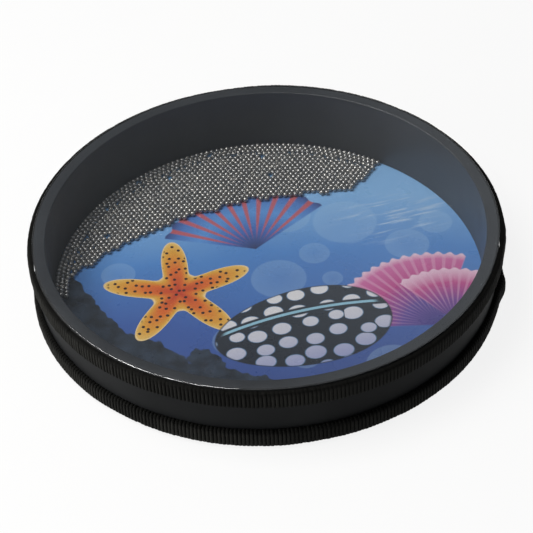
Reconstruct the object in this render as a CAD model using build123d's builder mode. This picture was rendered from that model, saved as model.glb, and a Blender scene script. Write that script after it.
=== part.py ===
"""Ocean drum: a ply hoop with a clear head above, a printed head below and steel shot between them.

Millimetres, +Z up. The origin is the centre of the drum's underside.
"""
import os
from math import atan2, ceil, cos, degrees, hypot, radians, sin, sqrt

from build123d import *

# Hoop: a ring of laminated ply
hoop_outer_radius = 126.3
hoop_thickness = 6.55
hoop_height = 39.5
hoop_edge_bevel = 0.8

# Layers glued round the hoop, each a glue line away from the last
glue_line = 0.1
wrap_thickness = 0.25
wrap_edge_margin = 0.4
wrap_seam_gap = 0.4
wrap_seam_angle = 75.0

# Heads: film pulled tight over an edge of the hoop and folded down its side
head_thickness = 0.25
head_fold_depth = 9.0

# Trims: thick tape over the folded edges, with bevelled outer corners
trim_width = 11.2
trim_thickness = 2.9
trim_edge_bevel = 1.0
trim_setback = 0.9
trim_joint_gap = 0.4
upper_trim_joint_angle = 62.0
lower_trim_joint_angle = 97.0

# Shot: one layer of steel balls that has run to one side of the drum
ball_diameter = 3.0
ball_pitch = 3.05
ball_floor_gap = 0.05
ball_wall_gap = 0.3
balls_shown_every = 2
bed_angle = 118.0
bed_half_angle = 67.0
bed_depth = 52.4
bed_edge_radius = 205.0
bed_edge_turn = 12.0
band_depth = 20.0
band_names = ("wall_shot", "second_shot", "third_shot", "front_shot")

# Sizes that follow
hoop_inner_radius = hoop_outer_radius - hoop_thickness
hoop_bottom = head_thickness
hoop_top = hoop_bottom + hoop_height
drum_height = hoop_top + head_thickness
mid_plane = Plane.XY.offset(drum_height / 2)
wrap_inner_radius = hoop_outer_radius + glue_line
wrap_outer_radius = wrap_inner_radius + wrap_thickness
fold_inner_radius = wrap_outer_radius + glue_line
fold_outer_radius = fold_inner_radius + head_thickness
fold_inner_bevel = hoop_edge_bevel + (fold_inner_radius - hoop_outer_radius) - glue_line * sqrt(2)
fold_outer_bevel = fold_inner_bevel + head_thickness * (2 - sqrt(2))
wrap_edge_setback = fold_inner_bevel + wrap_edge_margin
trim_inner_radius = fold_outer_radius + glue_line
trim_top = drum_height - trim_setback
trim_bottom = trim_top - trim_width


def section_plane(angle):
    """A plane through the drum's axis: x runs outward at this angle and y runs up."""
    turn = radians(angle)
    return Plane(origin=(0, 0, 0), x_dir=(cos(turn), sin(turn), 0), z_dir=(sin(turn), -cos(turn), 0))


def open_turn(gap, radius):
    """Degrees left of a full turn when its two ends stop this far apart."""
    return 360 - degrees(gap / radius)


os.makedirs("parts", exist_ok=True)

# The hoop, with bevelled outer edges for the film to bend over
with BuildPart() as hoop:
    with BuildSketch(Plane.XY.offset(hoop_bottom)):
        Circle(hoop_outer_radius)
        Circle(hoop_inner_radius, mode=Mode.SUBTRACT)
    extrude(amount=hoop_height)
    rings = hoop.edges().filter_by(GeomType.CIRCLE).group_by(SortBy.RADIUS)
    chamfer(rings[-1], length=hoop_edge_bevel)
hoop.part.label = "hoop"
export_step(hoop.part, "parts/hoop.step")

# The black wrap round the hoop, whose ends meet at a seam
with BuildPart() as outer_wrap:
    with BuildSketch(section_plane(wrap_seam_angle)):
        with Locations((wrap_inner_radius, hoop_bottom + wrap_edge_setback)):
            Rectangle(wrap_thickness, hoop_height - 2 * wrap_edge_setback, align=Align.MIN)
    revolve(axis=Axis.Z, revolution_arc=open_turn(wrap_seam_gap, wrap_outer_radius))
outer_wrap.part.label = "outer_wrap"
export_step(outer_wrap.part, "parts/outer_wrap.step")

# The clear head: a disc whose edge folds down round the hoop, the same thickness all the way
with BuildPart() as top_head:
    with BuildSketch(Plane.XZ) as head_section:
        with BuildLine():
            Polyline(
                (0, hoop_top),
                (0, drum_height),
                (fold_outer_radius, drum_height),
                (fold_outer_radius, drum_height - head_fold_depth),
                (fold_inner_radius, drum_height - head_fold_depth),
                (fold_inner_radius, hoop_top),
                close=True,
            )
        make_face()
        inside_corner = head_section.vertices().group_by(Axis.Y)[1].sort_by(Axis.X)[-1]
        chamfer(inside_corner, length=fold_inner_bevel)
        outside_corner = head_section.vertices().group_by(Axis.Y)[-1].sort_by(Axis.X)[-1]
        chamfer(outside_corner, length=fold_outer_bevel)
    revolve(axis=Axis.Z)
top_head.part.label = "top_head"
export_step(top_head.part, "parts/top_head.step")

# The printed head is the same film on the underside
with BuildPart() as bottom_head:
    mirror(top_head.part, about=mid_plane)
bottom_head.part.label = "bottom_head"
export_step(bottom_head.part, "parts/bottom_head.step")


def trim_ring(joint_angle):
    """One turn of tape over the clear head's fold, with its ends butted at this angle."""
    with BuildPart() as ring:
        with BuildSketch(section_plane(joint_angle)) as trim_section:
            with Locations((trim_inner_radius, trim_bottom)):
                Rectangle(trim_thickness, trim_width, align=Align.MIN)
            chamfer(trim_section.vertices().group_by(Axis.X)[-1], length=trim_edge_bevel)
        revolve(axis=Axis.Z, revolution_arc=open_turn(trim_joint_gap, trim_inner_radius))
    return ring.part


# The two trims, the lower one turned over
with BuildPart() as upper_trim:
    add(trim_ring(upper_trim_joint_angle))
upper_trim.part.label = "upper_trim"
export_step(upper_trim.part, "parts/upper_trim.step")

with BuildPart() as lower_trim:
    mirror(trim_ring(lower_trim_joint_angle), about=mid_plane)
lower_trim.part.label = "lower_trim"
export_step(lower_trim.part, "parts/lower_trim.step")

# The shot bed, laid out along its chord and outward from the axis at the bed's angle
ball_radius = ball_diameter / 2
bed_height = hoop_bottom + ball_floor_gap + ball_radius
bed_reach = hoop_inner_radius - ball_wall_gap - ball_radius
bed_turn = radians(bed_angle - 90)
bed_plane = Plane(origin=(0, 0, bed_height), x_dir=(cos(bed_turn), sin(bed_turn), 0), z_dir=(0, 0, 1))
edge_offset = bed_edge_radius - (bed_reach - bed_depth)
edge_centre = Vector(-edge_offset * sin(radians(bed_edge_turn)), -edge_offset * cos(radians(bed_edge_turn)))
column_pitch = ball_pitch * balls_shown_every
row_pitch = column_pitch * sqrt(3) / 2


def in_bed(along, out):
    """Whether a ball here lies inside the wall, between the bed's two ends and behind its free edge."""
    if hypot(along, out) > bed_reach or abs(degrees(atan2(along, out))) > bed_half_angle:
        return False
    return hypot(along - edge_centre.X, out - edge_centre.Y) >= bed_edge_radius


def bed_rows():
    """The balls of each row of the bed, from the wall inward, packed in triangles."""
    columns = ceil(bed_reach / column_pitch)
    for row in range(ceil(2 * bed_reach / row_pitch)):
        out = bed_reach - row * row_pitch
        shift = (row % 2) * column_pitch / 2
        yield [(column * column_pitch + shift, out) for column in range(-columns, columns + 1)]


def ball_corners():
    """Twelve points spread evenly over a ball: the corners of a solid with twenty faces."""
    golden = (1 + sqrt(5)) / 2
    scale = ball_radius / hypot(1, golden)
    corners = []
    for short in (-scale, scale):
        for tall in (-scale * golden, scale * golden):
            corners += [(0, short, tall), (short, tall, 0), (tall, 0, short)]
    return corners


bed_balls = [ball for row in bed_rows() for ball in row if in_bed(*ball)]

# Bands of shot, each one spreading away from the band behind it
for band, name in enumerate(band_names):
    far = bed_reach - band * band_depth
    near = far - band_depth if name != band_names[-1] else -bed_reach
    with BuildPart(bed_plane) as shot_band:
        with Locations(*[ball for ball in bed_balls if near < ball[1] <= far]):
            ConvexPolyhedron(ball_corners())
    shot_band.part.label = name
    export_step(shot_band.part, f"parts/{name}.step")
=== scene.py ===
from math import copysign, cos, hypot, pi, radians, sin, sqrt, tau

import bmesh
import bpy
import numpy as np
from mathutils import Matrix, Vector


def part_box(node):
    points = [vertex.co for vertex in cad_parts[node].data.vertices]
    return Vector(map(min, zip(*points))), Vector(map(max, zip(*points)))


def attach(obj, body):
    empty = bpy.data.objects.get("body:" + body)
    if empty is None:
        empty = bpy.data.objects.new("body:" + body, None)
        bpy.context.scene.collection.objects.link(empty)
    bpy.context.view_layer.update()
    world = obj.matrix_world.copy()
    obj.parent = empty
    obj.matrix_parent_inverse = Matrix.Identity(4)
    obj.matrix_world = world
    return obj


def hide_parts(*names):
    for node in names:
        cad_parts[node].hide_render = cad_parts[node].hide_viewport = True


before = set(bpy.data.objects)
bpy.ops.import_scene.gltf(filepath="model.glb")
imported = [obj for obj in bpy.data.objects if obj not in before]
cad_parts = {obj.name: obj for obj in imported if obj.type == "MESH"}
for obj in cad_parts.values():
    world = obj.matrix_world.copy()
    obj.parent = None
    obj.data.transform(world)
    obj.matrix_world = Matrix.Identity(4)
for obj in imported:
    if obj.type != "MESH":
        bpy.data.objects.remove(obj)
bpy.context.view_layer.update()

MM = 0.001
BODY = "drum"


# Sizes read from the frame, in metres

def node_radii(node):
    """Nearest and farthest distance of a CAD node's points from the drum's axis."""
    spans = [hypot(v.co.x, v.co.y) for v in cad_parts[node].data.vertices]
    return min(spans), max(spans)


HOOP_INNER, HOOP_OUTER = node_radii("hoop")
HOOP_LOW, HOOP_HIGH = (corner.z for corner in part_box("hoop"))
HEAD_OUTER = node_radii("top_head")[1]
DRUM_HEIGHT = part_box("top_head")[1].z
HEAD_THICKNESS = DRUM_HEIGHT - HOOP_HIGH
TRIM_INNER, TRIM_OUTER = node_radii("upper_trim")
TRIM_SPANS = {name: tuple(corner.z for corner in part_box(name)) for name in ("upper_trim", "lower_trim")}

# Camera, fitted to the rim, the hoop's inside edge and the lower trim in the photograph
CAMERA_ELEVATION = radians(41.03)
CAMERA_DISTANCE = 0.9574
CAMERA_ROLL = radians(2.95)
CAMERA_AIM_DROP = 0.0091
CAMERA_LENS = 117.24
CAMERA_SENSOR = 36.0

# Lamps as (name, turn, rise, distance, width, height, watts), with turn and rise in degrees
LAMPS = (
    ("overhead_softbox", 180, 64, 1.25, 0.8, 0.8, 15.0),
    ("left_strip", 197, 9.5, 1.3, 1.2, 0.3, 20.0),
)
LAMP_COLOUR = (1.0, 0.98, 0.95)

# Sky: dim and even, with a paler patch of studio wall behind the drum and to the right
SKY_COLOUR = (0.92, 0.96, 1.0, 1.0)
SKY_LEVEL = 0.2
SKY_PATCH = (0.287, 0.710, 0.643)
SKY_PATCH_LEVEL = 0.54
SKY_PATCH_EDGE = 0.95

# Floor: a wide sheet just under the drum, with the share of plain white in what the camera sees of it
FLOOR_HALF = 30.0
FLOOR_DROP = 0.3 * MM
FLOOR_GLOW = 0.86

# Hoop and heads
HOOP_TURNS = 240
HOOP_EDGE_ROUND = 0.7 * MM
HOOP_EDGE_STEPS = 5
FILM_SEAT = 0.04 * MM
FILM_BEND = 0.65 * MM
FILM_BEND_STEPS = 8
FILM_FLAT_EDGE = 0.4 * MM
FILM_FOLD = 6.0 * MM
FILM_UNEVEN = 0.05 * MM
FILM_WAVES = (3, 5, 8, 13, 21, 34)
FILM_SEED = 11
FILM_GLOSS = 0.043

# Trims: ribbed tape
RIB_PITCH = 2.075 * MM
RIB_DEPTH = 0.8 * MM
RIB_FADE = 0.85
RIB_STEPS = 6
RIB_UNEVEN_HIGH = 0.05 * MM
RIB_UNEVEN_WIDE = 0.13 * MM
RIB_END_CUT = 0.7
TRIM_MARGIN = 0.1 * MM
TRIM_SWELL = 0.25 * MM
TRIM_SWELL_WAVES = (2, 3, 5, 7, 11, 17)
TRIM_WANDER = 0.15 * MM
TRIM_WANDER_WAVES = (2, 4, 6, 9, 14, 23)
TRIM_FACE_POINTS = 17
TRIM_FACE_POWER = 0.5
TRIM_EDGE_POWER = 0.62
TRIM_SEEDS = {"upper_trim": 5, "lower_trim": 8}
TRIM_JOINT = {"upper_trim": radians(62.0), "lower_trim": radians(97.0)}
TRIM_JOINT_GAP = 0.4 * MM
TRIM_TIGHT_EDGE = {"upper_trim": 1, "lower_trim": -1}
TRIM_BULGES = {
    "upper_trim": (radians(353), radians(7), 0.5 * MM),
    "lower_trim": (radians(349), radians(5), 1.8 * MM),
}

# Shot, in millimetres in the bed's own directions: along its chord, and out to the wall
BALL_RADIUS = 1.5
BALL_PITCH = 3.1
ROW_PITCH = BALL_PITCH * sqrt(3) / 2
BALL_SHAKE = 0.13
BALLS_MISSING = 0.006
BALL_WALL_GAP = 0.3
BALL_FLOOR_GAP = 0.05
BALL_SUBDIVISIONS = 3
LATTICE_SPARE = 6
LATTICE_OVERHANG = 0.35
WALL_ROWS = 3
WALL_PITCH = 3.16
SETTLE_STEPS = 250
SETTLE_GAP = 0.01
SETTLE_NEAR = 2 * BALL_PITCH
SETTLE_SHARE = 0.45
SHOT_SEED = 29
BED_ANGLE = radians(118.0)
BED_ENDS = (radians(-67.0), radians(64.3))
BED_TAIL_DEPTH = 6.0
BED_DEPTH = 52.4
BED_EDGE_RADIUS = 205.0
BED_EDGE_TURN = radians(12.0)
BED_RAGGED = 0.5
BED_RAGGED_WAVES = 9
BED_RAGGED_RATES = (0.04, 0.5)
BAND_DEPTH = 20.0
BAND_NAMES = ("wall_shot", "second_shot", "third_shot", "front_shot")


# Mesh helpers

def mesh_object(name, verts, faces, material, sharp=radians(50)):
    """A smooth-shaded object from points and faces, with edges over the sharp angle left crisp."""
    mesh = bpy.data.meshes.new(name)
    mesh.from_pydata(verts, [], faces)
    mesh.polygons.foreach_set("use_smooth", [True] * len(mesh.polygons))
    mesh.set_sharp_from_angle(angle=sharp)
    mesh.materials.append(material)
    mesh.validate()
    piece = bpy.data.objects.new(name, mesh)
    bpy.context.collection.objects.link(piece)
    return piece


def arc(centre, radius, start, end, steps):
    """Points on a circle in a section, from one angle to another."""
    angles = np.linspace(radians(start), radians(end), steps + 1)
    return [(centre[0] + radius * cos(a), centre[1] + radius * sin(a)) for a in angles]


def lathe(name, section_at, angles, material, closed_turn=True):
    """A closed section of (radius, height) points carried round the drum's axis.

    section_at gives the section at an angle. An open turn gets a face across each end.
    """
    verts = []
    for angle in angles:
        verts += [(r * cos(angle), r * sin(angle), z) for r, z in section_at(angle)]
    count = len(section_at(angles[0]))
    rings = len(angles)
    faces = []
    for ring in range(rings if closed_turn else rings - 1):
        here, there = ring * count, (ring + 1) % rings * count
        for k in range(count):
            after = (k + 1) % count
            faces.append((here + k, there + k, there + after, here + after))
    if not closed_turn:
        faces.append(tuple(range(count)))
        faces.append(tuple(reversed(range((rings - 1) * count, rings * count))))
    return mesh_object(name, verts, faces, material)


def even_angles(count):
    """Angles spaced evenly round a full turn."""
    return [tau * step / count for step in range(count)]


def disc_lathe(name, section_at, angles, material):
    """As lathe, for a section whose first and last points lie on the axis."""
    first, *ring_points, last = section_at(angles[0])
    count, rings = len(ring_points), len(angles)
    verts = [(0, 0, first[1]), (0, 0, last[1])]
    for angle in angles:
        verts += [(r * cos(angle), r * sin(angle), z) for r, z in section_at(angle)[1:-1]]
    faces = []
    for ring in range(rings):
        here, there = 2 + ring * count, 2 + (ring + 1) % rings * count
        faces.append((0, here, there))
        faces += [(here + k, here + k + 1, there + k + 1, there + k) for k in range(count - 1)]
        faces.append((here + count - 1, 1, there + count - 1))
    return mesh_object(name, verts, faces, material)


def waves(rng, orders, size):
    """A smooth closed wobble round the drum: a function of the angle, about as large as size."""
    parts = [(order, rng.uniform(0, tau), rng.normal(0, size / sqrt(len(orders)))) for order in orders]
    return lambda angle: sum(height * cos(order * angle + phase) for order, phase, height in parts)


# Material helpers

def colour(red, green, blue):
    """A colour given as screen bytes, in Blender's linear light."""
    parts = [byte / 255 for byte in (red, green, blue)]
    return tuple(p / 12.92 if p <= 0.04045 else ((p + 0.055) / 1.055) ** 2.4 for p in parts) + (1.0,)


class Graph:
    """A material's node tree, with short calls that add a node and give back its output."""

    def __init__(self, name):
        self.material = bpy.data.materials.new(name)
        self.material.use_nodes = True
        self.tree = self.material.node_tree
        self.tree.nodes.clear()
        self.place_seen = self.add("ShaderNodeTexCoord").outputs["Object"]

    def add(self, kind, feeds=None, **settings):
        node = self.tree.nodes.new(kind)
        for key, value in settings.items():
            setattr(node, key, value)
        for key, value in (feeds or {}).items():
            self.feed(node.inputs[key], value)
        return node

    def feed(self, socket, value):
        if isinstance(value, bpy.types.NodeSocket):
            self.tree.links.new(value, socket)
        else:
            socket.default_value = value

    def math(self, operation, *values):
        node = self.add("ShaderNodeMath", operation=operation)
        for socket, value in zip(node.inputs, values):
            self.feed(socket, value)
        return node.outputs[0]

    def scaled(self, factor):
        """The place on the object times a factor, or a factor for each axis."""
        spread = (factor,) * 3 if isinstance(factor, (int, float)) else factor
        return self.add("ShaderNodeMapping", {"Vector": self.place_seen, "Scale": spread}).outputs[0]

    def local(self, place, centre, turn, size):
        """Coordinates in a motif's own frame: its centre is zero and its size is one."""
        feeds = {
            "Vector": place,
            "Location": (*centre, 0),
            "Rotation": (0, 0, radians(turn)),
            "Scale": (*size, 1),
        }
        return self.add("ShaderNodeMapping", feeds, vector_type="TEXTURE").outputs[0]

    def axes(self, place):
        node = self.add("ShaderNodeSeparateXYZ", {"Vector": place})
        return node.outputs[0], node.outputs[1], node.outputs[2]

    def length(self, x, y):
        return self.math("SQRT", self.math("ADD", self.math("MULTIPLY", x, x), self.math("MULTIPLY", y, y)))

    def ease(self, value, low, high):
        """Zero at low, one at high and smooth between; low may be the larger."""
        feeds = {"Value": value, "From Min": low, "From Max": high}
        return self.add("ShaderNodeMapRange", feeds, interpolation_type="SMOOTHSTEP").outputs[0]

    def spread(self, value, low, high, to_low, to_high):
        feeds = {"Value": value, "From Min": low, "From Max": high, "To Min": to_low, "To Max": to_high}
        return self.add("ShaderNodeMapRange", feeds).outputs[0]

    def noise(self, place, scale, detail=3.0, rough=0.55):
        feeds = {"Vector": place, "Scale": scale, "Detail": detail, "Roughness": rough}
        return self.add("ShaderNodeTexNoise", feeds).outputs["Fac"]

    def cells(self, place, scale, randomness=1.0, dimensions="3D"):
        feeds = {"Vector": place, "Scale": scale, "Randomness": randomness}
        return self.add("ShaderNodeTexVoronoi", feeds, voronoi_dimensions=dimensions)

    def mix(self, amount, under, over):
        node = self.add("ShaderNodeMix", data_type="RGBA")
        self.feed(node.inputs[0], amount)
        self.feed(node.inputs[6], under)
        self.feed(node.inputs[7], over)
        return node.outputs[2]

    def ramp(self, value, *stops):
        node = self.add("ShaderNodeValToRGB", {"Fac": value})
        ramp = node.color_ramp
        while len(ramp.elements) < len(stops):
            ramp.elements.new(0.5)
        for element, (place, shade) in zip(ramp.elements, stops):
            element.position = place
            element.color = shade
        return node.outputs["Color"]

    def bump(self, height, strength, distance):
        feeds = {"Height": height, "Strength": strength, "Distance": distance}
        return self.add("ShaderNodeBump", feeds).outputs["Normal"]

    def surface(self, **feeds):
        """A Principled shader; sockets are named with underscores for spaces."""
        named = {key.replace("_", " "): value for key, value in feeds.items()}
        return self.add("ShaderNodeBsdfPrincipled", named).outputs[0]

    def finish(self, shader):
        output = self.add("ShaderNodeOutputMaterial")
        self.tree.links.new(shader, output.inputs["Surface"])
        return self.material


# Finishes

def hoop_paint():
    """Satin black paint: faint orange peel, a few pale specks, and painted shade that darkens its rounded
    outer edges.
    """
    g = Graph("hoop_paint")
    cloud = g.noise(g.scaled(1000.0), 0.045, 4.0)
    peel = g.noise(g.scaled(1000.0), 1.6, 2.0)
    tone = g.ramp(cloud, (0.3, colour(37, 39, 43)), (0.7, colour(43, 46, 50)))
    specks = g.cells(g.scaled(1000.0), 0.16).outputs["Distance"]
    tone = g.mix(g.math("MULTIPLY", g.ease(specks, 0.035, 0.02), 0.5), tone, colour(120, 120, 120))
    x, y, _ = g.axes(g.place_seen)
    # Painted shade: the rounded outer edge is mixed nearly to black, and its roughness is raised there.
    shaded_edge = g.ease(g.length(x, y), HOOP_OUTER - HOOP_EDGE_ROUND, HOOP_OUTER - 0.6 * HOOP_EDGE_ROUND)
    tone = g.mix(g.math("MULTIPLY", shaded_edge, 0.85), tone, colour(6, 6, 7))
    rough = g.math("MAXIMUM", g.spread(cloud, 0.3, 0.7, 0.36, 0.46), g.math("MULTIPLY", shaded_edge, 0.9))
    normal = g.bump(peel, 0.12, 0.0002)
    return g.finish(g.surface(Base_Color=tone, Roughness=rough, Specular_IOR_Level=0.45, Normal=normal))


def wrap_vinyl():
    """Smooth black vinyl, a little uneven where it is stretched round the hoop."""
    g = Graph("wrap_vinyl")
    sag = g.noise(g.scaled((1000.0, 1000.0, 400.0)), 0.03, 2.0)
    grain = g.noise(g.scaled(1000.0), 2.2, 3.0)
    tone = g.ramp(sag, (0.3, colour(18, 19, 20)), (0.7, colour(24, 25, 26)))
    rough = g.spread(grain, 0.3, 0.7, 0.5, 0.6)
    height = g.math("ADD", g.math("MULTIPLY", sag, 3.0), g.math("MULTIPLY", grain, 0.12))
    normal = g.bump(height, 0.25, 0.0004)
    return g.finish(g.surface(Base_Color=tone, Roughness=rough, Specular_IOR_Level=0.06, Normal=normal))


def trim_tape():
    """Black ribbed polyester tape: fine cross threads on the modelled ribs, a dull sheen, some lint, and a
    painted highlight that lightens the rib tops.
    """
    g = Graph("trim_tape")
    feeds = {"Vector": g.scaled(1000.0), "Scale": 0.55, "Distortion": 0.6, "Detail": 1.0}
    thread = g.add("ShaderNodeTexWave", feeds, bands_direction="Z").outputs["Fac"]
    fibre = g.noise(g.scaled((1000.0, 1000.0, 500.0)), 3.0, 3.0)
    fade = g.noise(g.scaled(1000.0), 0.06, 3.0)
    tone = g.ramp(fade, (0.3, colour(9, 9, 8)), (0.7, colour(14, 14, 13)))
    x, y, _ = g.axes(g.place_seen)
    # Painted highlight: the outer tops of the ribs are mixed towards a lighter grey.
    crown = g.ease(g.length(x, y), TRIM_OUTER - RIB_DEPTH, TRIM_OUTER - 0.15 * RIB_DEPTH)
    tone = g.mix(g.math("MULTIPLY", crown, 0.75), tone, colour(31, 31, 29))
    tone = g.mix(g.ease(fibre, 0.62, 0.8), tone, colour(46, 46, 44))
    rough = g.spread(fibre, 0.3, 0.7, 0.6, 0.8)
    height = g.math("ADD", g.math("MULTIPLY", thread, 0.5), fibre)
    normal = g.bump(height, 0.35, 0.0002)
    return g.finish(g.surface(
        Base_Color=tone,
        Roughness=rough,
        Specular_IOR_Level=0.04,
        Sheen_Weight=0.01,
        Sheen_Roughness=0.4,
        Normal=normal,
    ))


def clear_film():
    """Clear polyester: glossy at low angles, with a trace of dust, and dulled by glue below its bend."""
    g = Graph("clear_film")
    smear = g.noise(g.scaled((1000.0, 1000.0, 0.0)), 0.02, 4.0, 0.6)
    dust = g.cells(g.scaled(1000.0), 0.11).outputs["Distance"]
    specks = g.math("MULTIPLY", g.ease(dust, 0.045, 0.02), 0.35)
    slant = g.add("ShaderNodeLayerWeight", {"Blend": 0.5}).outputs["Facing"]
    gloss = g.math("MULTIPLY_ADD", g.math("POWER", slant, 5.0), 1 - FILM_GLOSS, FILM_GLOSS)
    haze = g.spread(smear, 0.3, 0.75, 0.0, 0.012)
    amount = g.math("MAXIMUM", g.math("ADD", gloss, haze), specks)
    x, y, z = g.axes(g.place_seen)
    bent = g.ease(g.length(x, y), HEAD_OUTER - FILM_BEND, HEAD_OUTER - 0.7 * FILM_BEND)
    strain = g.spread(g.noise(g.scaled(1000.0), 0.09, 3.0), 0.35, 0.65, 0.07, 0.24)
    low = g.ease(z, DRUM_HEIGHT - 0.18 * FILM_BEND, DRUM_HEIGHT - 0.4 * FILM_BEND)
    glued = g.math("MULTIPLY", bent, low)
    crest = g.math("SUBTRACT", bent, glued)
    amount = g.math("MAXIMUM", amount, g.math("MULTIPLY", crest, strain))
    amount = g.math("MULTIPLY", amount, g.spread(glued, 0.0, 1.0, 1.0, 0.12))
    rough = g.spread(smear, 0.3, 0.75, 0.03, 0.09)
    rough = g.math("MAXIMUM", rough, g.math("MULTIPLY", glued, 0.6))
    skin = g.surface(Base_Color=colour(240, 242, 244), Metallic=1.0, Roughness=rough)
    clear = g.add("ShaderNodeBsdfTransparent", {"Color": (0.97, 0.975, 0.98, 1.0)}).outputs[0]
    both = g.add("ShaderNodeMixShader")
    for socket, value in zip(both.inputs, (amount, clear, skin)):
        g.feed(socket, value)
    return g.finish(both.outputs[0])


def steel_shot():
    """Steel balls with a thin smear of oil, each a little different."""
    g = Graph("steel_shot")
    each = g.add("ShaderNodeNewGeometry").outputs["Random Per Island"]
    smear = g.noise(g.scaled(1000.0), 0.8, 2.0)
    tone = g.ramp(
        each,
        (0.0, colour(154, 153, 152)),
        (0.6, colour(163, 161, 158)),
        (1.0, colour(172, 169, 164)),
    )
    rough = g.math("ADD", g.spread(each, 0.0, 1.0, 0.15, 0.2), g.spread(smear, 0.3, 0.7, 0.0, 0.04))
    return g.finish(g.surface(Base_Color=tone, Metallic=0.72, Roughness=rough))


# The picture on the lower head, in millimetres from the drum's axis

BUBBLES = (
    (12, 52, 15), (-14, 40, 9), (46, 44, 19), (80, 22, 13), (27, 18, 9), (6, -2, 16), (92, -14, 8),
    (-20, -50, 12), (18, -66, 8), (-84, 8, 10), (64, -74, 15), (98, 40, 10), (-40, 44, 7), (36, -4, 6),
)


def water(g, place):
    """Blue water, pale at the back and deep at the front, with soft discs of light and a ripple."""
    _, y, _ = g.axes(place)
    drift = g.spread(g.noise(place, 0.012, 2.0), 0.0, 1.0, -0.12, 0.12)
    depth = g.math("ADD", g.spread(y, -115.0, 80.0, 0.0, 1.0), drift)
    tone = g.ramp(
        depth,
        (0.05, colour(58, 74, 132)),
        (0.4, colour(66, 98, 168)),
        (0.68, colour(84, 138, 204)),
        (0.95, colour(134, 182, 228)),
    )
    ripple = g.ease(g.noise(g.local(place, (70, 48), 14, (26, 2.6)), 1.3, 3.0), 0.5, 0.72)
    u, v, _ = g.axes(g.local(place, (74, 46), 14, (44, 26)))
    shine = g.math("MULTIPLY", ripple, g.ease(g.length(u, v), 1.1, 0.2))
    tone = g.mix(g.math("MULTIPLY", shine, 0.65), tone, colour(206, 224, 240))
    for across, away, radius in BUBBLES:
        u, v, _ = g.axes(g.local(place, (across, away), 0, (radius, radius)))
        span = g.length(u, v)
        disc = g.math("MULTIPLY", g.ease(span, 1.0, 0.94), g.spread(span, 0.0, 1.0, 0.1, 0.2))
        tone = g.mix(disc, tone, colour(176, 210, 238))
    return tone


def rocks(g, place, tone):
    """A black reef along the front edge of the picture."""
    x, y, _ = g.axes(place)
    lumps = g.noise(place, 0.035, 3.0)
    rim = HOOP_INNER / MM
    inside = g.math("SUBTRACT", rim * rim, g.math("MULTIPLY", x, x))
    edge = g.math("SQRT", g.math("MAXIMUM", inside, 0.0))
    lean = g.spread(g.ease(x, 70.0, -40.0), 0.0, 1.0, -40.0, 10.0)
    rise = g.math("ADD", g.spread(lumps, 0.3, 0.7, 32.0, 58.0), lean)
    reef = g.ease(g.math("SUBTRACT", g.math("ADD", y, edge), rise), 0.8, -0.8)
    shade = g.ramp(g.noise(place, 0.11, 4.0), (0.35, colour(34, 40, 48)), (0.7, colour(56, 68, 84)))
    return g.mix(reef, tone, shade)


def starfish(g, place, tone, centre, turn, size):
    """A five-armed star, yellow to red, with dark dots and a pale rim."""
    u, v, _ = g.axes(g.local(place, centre, turn, (size, size)))
    span = g.length(u, v)
    swing = g.math("COSINE", g.math("MULTIPLY", g.math("ARCTAN2", v, u), 5.0))
    lobe = g.math("POWER", g.spread(swing, -1.0, 1.0, 0.0, 1.0), 1.7)
    edge = g.spread(lobe, 0.0, 1.0, 0.36, 1.0)
    inside = g.math("SUBTRACT", edge, span)
    mask = g.ease(inside, -0.008, 0.012)
    share = g.math("DIVIDE", span, edge)
    shade = g.ramp(
        share,
        (0.0, colour(196, 62, 40)),
        (0.45, colour(224, 112, 44)),
        (0.8, colour(226, 164, 62)),
        (1.0, colour(236, 196, 110)),
    )
    dots = g.cells(place, 0.21, 0.7, "2D").outputs["Distance"]
    spots = g.math("MULTIPLY", g.ease(dots, 0.24, 0.16), g.ease(inside, 0.03, 0.08))
    shade = g.mix(spots, shade, colour(52, 34, 32))
    shade = g.mix(g.math("MULTIPLY", g.ease(inside, 0.045, 0.01), 0.6), shade, colour(250, 226, 176))
    return g.mix(mask, tone, shade)


def cowrie(g, place, tone, centre, turn, size):
    """A black shell with large white spots and a pale seam along its back."""
    u, v, _ = g.axes(g.local(place, centre, turn, size))
    bulge = g.math("MULTIPLY_ADD", u, 0.13, 1.0)
    span = g.length(u, g.math("DIVIDE", v, bulge))
    mask = g.ease(span, 1.0, 0.975)
    cell = g.cells(g.local(place, centre, turn, (14.0, 12.0)), 1.0, 0.4, "2D")
    pick = g.add("ShaderNodeSeparateXYZ", {"Vector": cell.outputs["Color"]}).outputs[0]
    far = g.math("ADD", cell.outputs["Distance"], g.math("MULTIPLY", pick, 0.12))
    seam = g.math("MULTIPLY_ADD", g.math("MULTIPLY", u, u), 0.22, g.math("SUBTRACT", v, 0.42))
    seam = g.math("ABSOLUTE", seam)
    room = g.math("MULTIPLY", g.ease(span, 0.985, 0.95), g.ease(seam, 0.08, 0.11))
    spot = g.math("MULTIPLY", g.ease(far, 0.42, 0.39), room)
    halo = g.math("MULTIPLY", g.ease(far, 0.46, 0.41), room)
    white = g.ramp(
        g.spread(v, -1.0, 0.6, 0.0, 1.0),
        (0.0, colour(150, 156, 198)),
        (0.6, colour(206, 206, 218)),
        (1.0, colour(228, 226, 228)),
    )
    dark = g.ramp(g.spread(v, -1.0, 1.0, 0.0, 1.0), (0.0, colour(30, 36, 46)), (1.0, colour(52, 58, 66)))
    shade = g.mix(g.math("MULTIPLY", halo, 0.7), dark, colour(120, 160, 200))
    shade = g.mix(spot, shade, white)
    line = g.math("MULTIPLY", g.ease(seam, 0.04, 0.025), g.ease(span, 0.94, 0.86))
    shade = g.mix(line, shade, colour(150, 196, 216))
    return g.mix(mask, tone, shade)


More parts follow.
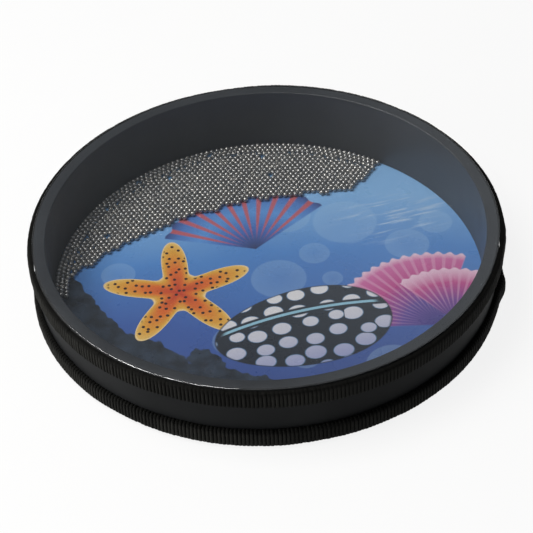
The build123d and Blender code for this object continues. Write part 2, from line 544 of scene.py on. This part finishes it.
def fan(g, place, tone, centre, turn, size, half_angle, lobes, shades, rib_shade, rib_depth):
    """A shell or sea fan that opens from one point: shades run outward and ribs run along it."""
    u, v, _ = g.axes(g.local(place, centre, turn, (size, size)))
    span = g.length(u, v)
    swing = g.math("ARCTAN2", u, v)
    wave = g.math("COSINE", g.math("MULTIPLY", swing, float(lobes)))
    edge = g.spread(wave, -1.0, 1.0, 0.965, 1.0)
    side = g.math("MULTIPLY", g.math("SUBTRACT", half_angle, g.math("ABSOLUTE", swing)), span)
    inside = g.math("MINIMUM", g.math("SUBTRACT", edge, span), side)
    mask = g.ease(inside, -0.008, 0.012)
    shade = g.ramp(span, *shades)
    ribs = g.math("MULTIPLY", g.ease(wave, -0.1, -0.9), rib_depth)
    shade = g.mix(g.math("MULTIPLY", ribs, g.ease(span, 0.1, 0.5)), shade, rib_shade)
    return g.mix(mask, tone, shade)


def printed_film():
    """Polyester film printed with a reef scene."""
    g = Graph("printed_film")
    place = g.scaled(1000.0)
    tone = water(g, place)
    blues = (
        (0.0, colour(52, 58, 96)),
        (0.3, colour(70, 104, 176)),
        (0.62, colour(96, 150, 214)),
        (0.86, colour(80, 122, 190)),
        (1.0, colour(60, 72, 124)),
    )
    pinks = (
        (0.0, colour(62, 58, 128)),
        (0.35, colour(96, 70, 150)),
        (0.66, colour(190, 74, 140)),
        (0.9, colour(206, 110, 164)),
        (1.0, colour(240, 214, 228)),
    )
    small_pinks = (
        (0.0, colour(62, 58, 128)),
        (0.4, colour(120, 66, 146)),
        (0.72, colour(194, 78, 142)),
        (1.0, colour(240, 206, 224)),
    )
    red_ribs = (colour(196, 92, 84), 0.85)
    pale_ribs = (colour(232, 186, 212), 0.35)
    tone = fan(g, place, tone, (-6, 24), 14, 54, radians(62), 30, blues, *red_ribs)
    tone = rocks(g, place, tone)
    tone = fan(g, place, tone, (92, -46), 34, 60, radians(54), 56, pinks, *pale_ribs)
    tone = fan(g, place, tone, (100, -44), -6, 44, radians(46), 44, small_pinks, *pale_ribs)
    tone = starfish(g, place, tone, (-50, -9), 24, 43)
    tone = cowrie(g, place, tone, (18, -42), 14, (50, 30))
    grain = g.noise(place, 2.5, 2.0)
    tone = g.mix(g.spread(grain, 0.35, 0.65, 0.0, 0.05), tone, colour(30, 34, 48))
    rough = g.spread(g.noise(place, 0.05, 3.0), 0.3, 0.7, 0.24, 0.34)
    return g.finish(g.surface(Base_Color=tone, Roughness=rough, Specular_IOR_Level=0.5))


# Pieces

def carried(piece, body, slot, *nodes):
    """The piece rides on a body and stands for CAD nodes, which are hidden; slot is not used."""
    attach(piece, body)
    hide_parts(*nodes)


def build_hoop(material):
    """The hoop with its edges rounded."""
    e = HOOP_EDGE_ROUND
    section = (
        arc((HOOP_INNER + e, HOOP_LOW + e), e, 180, 270, HOOP_EDGE_STEPS)
        + arc((HOOP_OUTER - e, HOOP_LOW + e), e, 270, 360, HOOP_EDGE_STEPS)
        + arc((HOOP_OUTER - e, HOOP_HIGH - e), e, 0, 90, HOOP_EDGE_STEPS)
        + arc((HOOP_INNER + e, HOOP_HIGH - e), e, 90, 180, HOOP_EDGE_STEPS)
    )
    piece = lathe("hoop_ring", lambda angle: section, even_angles(HOOP_TURNS), material)
    carried(piece, BODY, "hoop_paint", "hoop")


def film_section(shift):
    """Section of the clear head from the axis, over the bend and back: shift moves the bend in or out."""
    outer = HEAD_OUTER + shift
    thin = HEAD_THICKNESS - FILM_SEAT
    corner = (outer - FILM_BEND, DRUM_HEIGHT - FILM_BEND)
    over = arc(corner, FILM_BEND, 90, 0, FILM_BEND_STEPS)
    under = arc(corner, FILM_BEND - thin, 0, 90, FILM_BEND_STEPS)
    support = corner[0] - FILM_FLAT_EDGE
    return (
        [(0, DRUM_HEIGHT), (support, DRUM_HEIGHT)] + over
        + [(outer, DRUM_HEIGHT - FILM_FOLD), (outer - thin, DRUM_HEIGHT - FILM_FOLD)]
        + under + [(support, DRUM_HEIGHT - thin), (0, DRUM_HEIGHT - thin)]
    )


def build_heads(clear, printed):
    """The clear head, a little uneven at its bend, and the printed head turned over below."""
    rng = np.random.default_rng(FILM_SEED)
    uneven = waves(rng, FILM_WAVES, FILM_UNEVEN)
    turns = even_angles(2 * HOOP_TURNS)
    piece = disc_lathe("clear_head", lambda angle: film_section(min(uneven(angle), 0.0)), turns, clear)
    carried(piece, BODY, "clear_film", "top_head")

    def turned_over(angle):
        return [(r, DRUM_HEIGHT - z) for r, z in film_section(0.0)][::-1]

    piece = disc_lathe("printed_head", turned_over, even_angles(HOOP_TURNS), printed)
    carried(piece, BODY, "printed_film", "bottom_head")


def build_trim(name, material):
    """One turn of ribbed tape: rounded cross ribs, uneven rib ends and a slow wander of its edges."""
    rng = np.random.default_rng(TRIM_SEEDS[name])
    low, high = TRIM_SPANS[name]
    thick, wide = TRIM_OUTER - TRIM_INNER, high - low
    ribs = round(tau * TRIM_OUTER / RIB_PITCH)
    start = TRIM_JOINT[name]
    sweep = tau - TRIM_JOINT_GAP / TRIM_OUTER
    rib_high = rng.normal(0, RIB_UNEVEN_HIGH, ribs + 1)
    rib_wide = rng.normal(0, RIB_UNEVEN_WIDE, ribs + 1)
    swell = waves(rng, TRIM_SWELL_WAVES, TRIM_SWELL)
    wander = waves(rng, TRIM_WANDER_WAVES, TRIM_WANDER)
    bends = np.linspace(-pi / 2, pi / 2, TRIM_FACE_POINTS)
    tight = TRIM_TIGHT_EDGE[name]
    loose_at, loose_half, loose_high = TRIM_BULGES[name]

    def bulge(angle):
        """How far the tape stands out where it is loose."""
        off = abs((angle - loose_at + pi) % tau - pi) / loose_half
        return loose_high * (0.5 + 0.5 * cos(pi * min(off, 1.0)))

    def section_at(angle):
        """Section of the tape: a rounded face whose ribs fade towards the tight edge."""
        turn = (angle - start) / sweep * ribs
        rib = min(int(turn + 1e-6), ribs)
        across = 2 * (turn - rib) - 1
        groove = 1 - sqrt(max(1 - across * across, 0.0))
        crown = thick - TRIM_MARGIN + rib_high[rib] + min(swell(angle), 0.0) + bulge(angle)
        edge = wide / 2 - TRIM_MARGIN + min(rib_wide[rib], 0.0)
        middle = (low + high) / 2 + wander(angle)
        points = []
        for bend in bends:
            out, up = cos(bend), sin(bend)
            cut = RIB_DEPTH * groove * (1 - RIB_FADE * max(tight * up, 0.0))
            rise = (edge - RIB_END_CUT * cut) * abs(up) ** TRIM_EDGE_POWER
            radius = TRIM_INNER + (crown - cut) * abs(out) ** TRIM_FACE_POWER
            points.append((radius, middle + copysign(rise, up)))
        return points

    angles = [start + sweep * step / (ribs * RIB_STEPS) for step in range(ribs * RIB_STEPS + 1)]
    piece = lathe(name + "_tape", section_at, angles, material, closed_turn=False)
    carried(piece, BODY, "trim_tape", name)


def bed_edge(rng, reach):
    """The ragged free edge of the shot: how far a place lies behind it, in millimetres."""
    back = BED_EDGE_RADIUS - (reach - BED_DEPTH)
    centre = (-back * sin(BED_EDGE_TURN), -back * cos(BED_EDGE_TURN))
    parts = [
        (rng.uniform(*BED_RAGGED_RATES), rng.uniform(0, tau), rng.normal(0, BED_RAGGED))
        for _ in range(BED_RAGGED_WAVES)
    ]

    def behind(along, out):
        ragged = sum(size * np.cos(along * rate + phase) for rate, phase, size in parts)
        return np.hypot(along - centre[0], out - centre[1]) - BED_EDGE_RADIUS - ragged

    return behind


def in_bed(balls):
    """Which balls lie between the two ends of the bed."""
    swing = np.arctan2(balls[:, 0], balls[:, 1])
    return (swing > BED_ENDS[0]) & (swing < BED_ENDS[1])


def wall_rows(reach):
    """Rows of balls that follow the wall, each set into the gaps of the row behind it."""
    turn = WALL_PITCH / reach
    rows = []
    for row in range(WALL_ROWS):
        swings = np.arange(BED_ENDS[0] + (row % 2 + 0.5) * turn / 2, BED_ENDS[1], turn)
        far = reach - row * ROW_PITCH
        rows.append(np.stack([far * np.sin(swings), far * np.cos(swings)], -1))
    return np.concatenate(rows)


def settled(balls, reach):
    """The balls pushed apart until they only just touch, and kept inside the wall."""
    apart = balls[:, None, :] - balls[None, :, :]
    near = np.hypot(apart[..., 0], apart[..., 1]) < SETTLE_NEAR
    one, other = np.nonzero(np.triu(near, 1))
    for _ in range(SETTLE_STEPS):
        apart = balls[one] - balls[other]
        gap = np.hypot(*apart.T)
        share = np.clip(2 * BALL_RADIUS + SETTLE_GAP - gap, 0, None) * SETTLE_SHARE / gap
        push = np.zeros_like(balls)
        np.add.at(push, one, apart * share[:, None])
        np.subtract.at(push, other, apart * share[:, None])
        balls = balls + push
        balls = balls * np.minimum(1, reach / np.hypot(*balls.T))[:, None]
    return balls


def shot_places():
    """Where each ball lies, as (along, out): wall rows and a shaken lattice, settled to lie apart."""
    rng = np.random.default_rng(SHOT_SEED)
    reach = HOOP_INNER / MM - BALL_WALL_GAP - BALL_RADIUS
    behind = bed_edge(rng, reach)
    count = int(reach / BALL_PITCH) + LATTICE_SPARE
    column, row = np.meshgrid(np.arange(-count, count + 1), np.arange(-count, count + 1))
    x = ((column + row % 2 / 2) * BALL_PITCH).ravel()
    y = (row * ROW_PITCH).ravel()
    along = x * sin(BED_ANGLE) - y * cos(BED_ANGLE)
    out = x * cos(BED_ANGLE) + y * sin(BED_ANGLE)
    balls = np.stack([along, out], -1)
    inner = reach - WALL_ROWS * ROW_PITCH
    balls = balls[np.hypot(*balls.T) < inner + LATTICE_OVERHANG * BALL_PITCH]
    balls = np.concatenate([wall_rows(reach), balls])
    tail = (balls[:, 0] < 0) & (np.hypot(*balls.T) > reach - BED_TAIL_DEPTH)
    kept = ((behind(*balls.T) > 0) | tail) & in_bed(balls)
    kept &= rng.random(len(balls)) > BALLS_MISSING
    balls = balls[kept] + rng.normal(0, BALL_SHAKE, (kept.sum(), 2))
    balls = settled(balls, reach)
    return balls[in_bed(balls)], reach


def build_shot(material):
    """The layer of steel balls, in the bands that the joints move."""
    ball = bmesh.new()
    bmesh.ops.create_icosphere(ball, subdivisions=BALL_SUBDIVISIONS, radius=BALL_RADIUS * MM)
    shell = np.array([v.co for v in ball.verts])
    sides = np.array([[v.index for v in f.verts] for f in ball.faces])
    ball.free()
    places, reach = shot_places()
    along = np.array((sin(BED_ANGLE), -cos(BED_ANGLE), 0))
    out = np.array((cos(BED_ANGLE), sin(BED_ANGLE), 0))
    lift = np.array((0, 0, HOOP_LOW + (BALL_FLOOR_GAP + BALL_RADIUS) * MM))
    band_of = np.clip((reach - places[:, 1]) // BAND_DEPTH, 0, len(BAND_NAMES) - 1)
    for band, name in enumerate(BAND_NAMES):
        chosen = places[band_of == band] * MM
        centres = chosen[:, :1] * along + chosen[:, 1:] * out + lift
        verts = (centres[:, None, :] + shell[None]).reshape(-1, 3)
        faces = (np.arange(len(centres))[:, None, None] * len(shell) + sides[None]).reshape(-1, 3)
        piece = mesh_object(name + "_balls", verts.tolist(), faces.tolist(), material, sharp=pi)
        carried(piece, name, "steel_shot", name)


# Stage

def floor_material():
    """A white sheet, clear from below: white to the camera and in gloss, and it takes a soft shadow."""
    g = Graph("floor_white")
    paths = g.add("ShaderNodeLightPath").outputs
    mirrored = g.math("MAXIMUM", paths["Is Glossy Ray"], paths["Is Transmission Ray"])
    seen = g.math("MAXIMUM", paths["Is Camera Ray"], mirrored)
    tooth = g.noise(g.scaled(30.0), 1.0, 2.0)
    pale = g.ramp(tooth, (0.0, (0.72, 0.72, 0.72, 1)), (1.0, (0.76, 0.76, 0.76, 1)))
    paper = g.add("ShaderNodeBsdfDiffuse", {"Color": pale}).outputs[0]
    glow = g.add("ShaderNodeEmission", {"Color": (1, 1, 1, 1), "Strength": 1.0}).outputs[0]
    both = g.add("ShaderNodeMixShader")
    for socket, value in zip(both.inputs, (g.math("MULTIPLY", seen, FLOOR_GLOW), paper, glow)):
        g.feed(socket, value)
    below = g.add("ShaderNodeNewGeometry").outputs["Backfacing"]
    open_below = g.add("ShaderNodeMixShader")
    clear = g.add("ShaderNodeBsdfTransparent").outputs[0]
    for socket, value in zip(open_below.inputs, (below, both.outputs[0], clear)):
        g.feed(socket, value)
    return g.finish(open_below.outputs[0])


def build_floor():
    """The sheet that the drum lies on."""
    sides = ((-1, -1), (1, -1), (1, 1), (-1, 1))
    corners = [(x * FLOOR_HALF, y * FLOOR_HALF, -FLOOR_DROP) for x, y in sides]
    floor = mesh_object("floor", corners, [(0, 1, 2, 3)], floor_material())


def build_lamps():
    """Soft lamps that face the drum."""
    for name, turn, rise, away, wide, tall, power in LAMPS:
        lamp = bpy.data.lights.new(name, "AREA")
        lamp.shape = "RECTANGLE"
        lamp.size = wide
        lamp.size_y = tall
        lamp.energy = power
        lamp.color = LAMP_COLOUR
        holder = bpy.data.objects.new(name, lamp)
        bpy.context.collection.objects.link(holder)
        a, e = radians(turn), radians(rise)
        holder.location = (away * cos(e) * cos(a), away * cos(e) * sin(a), away * sin(e))
        holder.rotation_euler = Vector(holder.location).to_track_quat("Z", "Y").to_euler()


def build_sky():
    """A dim even sky with its paler patch."""
    world = bpy.data.worlds.new("studio")
    world.use_nodes = True
    tree = world.node_tree
    back = tree.nodes["Background"]
    seen = tree.nodes.new("ShaderNodeTexCoord")
    near = tree.nodes.new("ShaderNodeVectorMath")
    near.operation = "DOT_PRODUCT"
    near.inputs[1].default_value = SKY_PATCH
    tree.links.new(seen.outputs["Generated"], near.inputs[0])
    level = tree.nodes.new("ShaderNodeMapRange")
    level.interpolation_type = "SMOOTHSTEP"
    level.inputs["From Min"].default_value = SKY_PATCH_EDGE
    level.inputs["From Max"].default_value = 1.0
    level.inputs["To Min"].default_value = SKY_LEVEL
    level.inputs["To Max"].default_value = SKY_PATCH_LEVEL
    tree.links.new(near.outputs["Value"], level.inputs["Value"])
    tree.links.new(level.outputs[0], back.inputs["Strength"])
    back.inputs["Color"].default_value = SKY_COLOUR
    bpy.context.scene.world = world


def build_camera():
    """The camera where the photograph was taken from."""
    middle = Vector((0, 0, DRUM_HEIGHT / 2))
    away = Vector((0, -cos(CAMERA_ELEVATION), sin(CAMERA_ELEVATION)))
    level_up = Vector((0, sin(CAMERA_ELEVATION), cos(CAMERA_ELEVATION)))
    across = Vector((1, 0, 0)) * cos(CAMERA_ROLL) - level_up * sin(CAMERA_ROLL)
    up = Vector((1, 0, 0)) * sin(CAMERA_ROLL) + level_up * cos(CAMERA_ROLL)
    place = middle + away * CAMERA_DISTANCE
    away = (place - (middle - up * CAMERA_AIM_DROP)).normalized()
    up = away.cross(across).normalized()
    across = up.cross(away)
    data = bpy.data.cameras.new("photo_camera")
    data.sensor_width = CAMERA_SENSOR
    data.lens = CAMERA_LENS
    camera = bpy.data.objects.new("photo_camera", data)
    bpy.context.collection.objects.link(camera)
    turn = Matrix((across, up, away)).transposed().to_4x4()
    camera.matrix_world = Matrix.Translation(place) @ turn
    bpy.context.scene.camera = camera


bpy.context.scene.view_settings.view_transform = "Standard"
build_camera()
build_floor()
build_lamps()
build_sky()
build_hoop(hoop_paint())
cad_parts["outer_wrap"].material_slots[0].material = wrap_vinyl()
build_heads(clear_film(), printed_film())
tape = trim_tape()
build_trim("upper_trim", tape)
build_trim("lower_trim", tape)
build_shot(steel_shot())
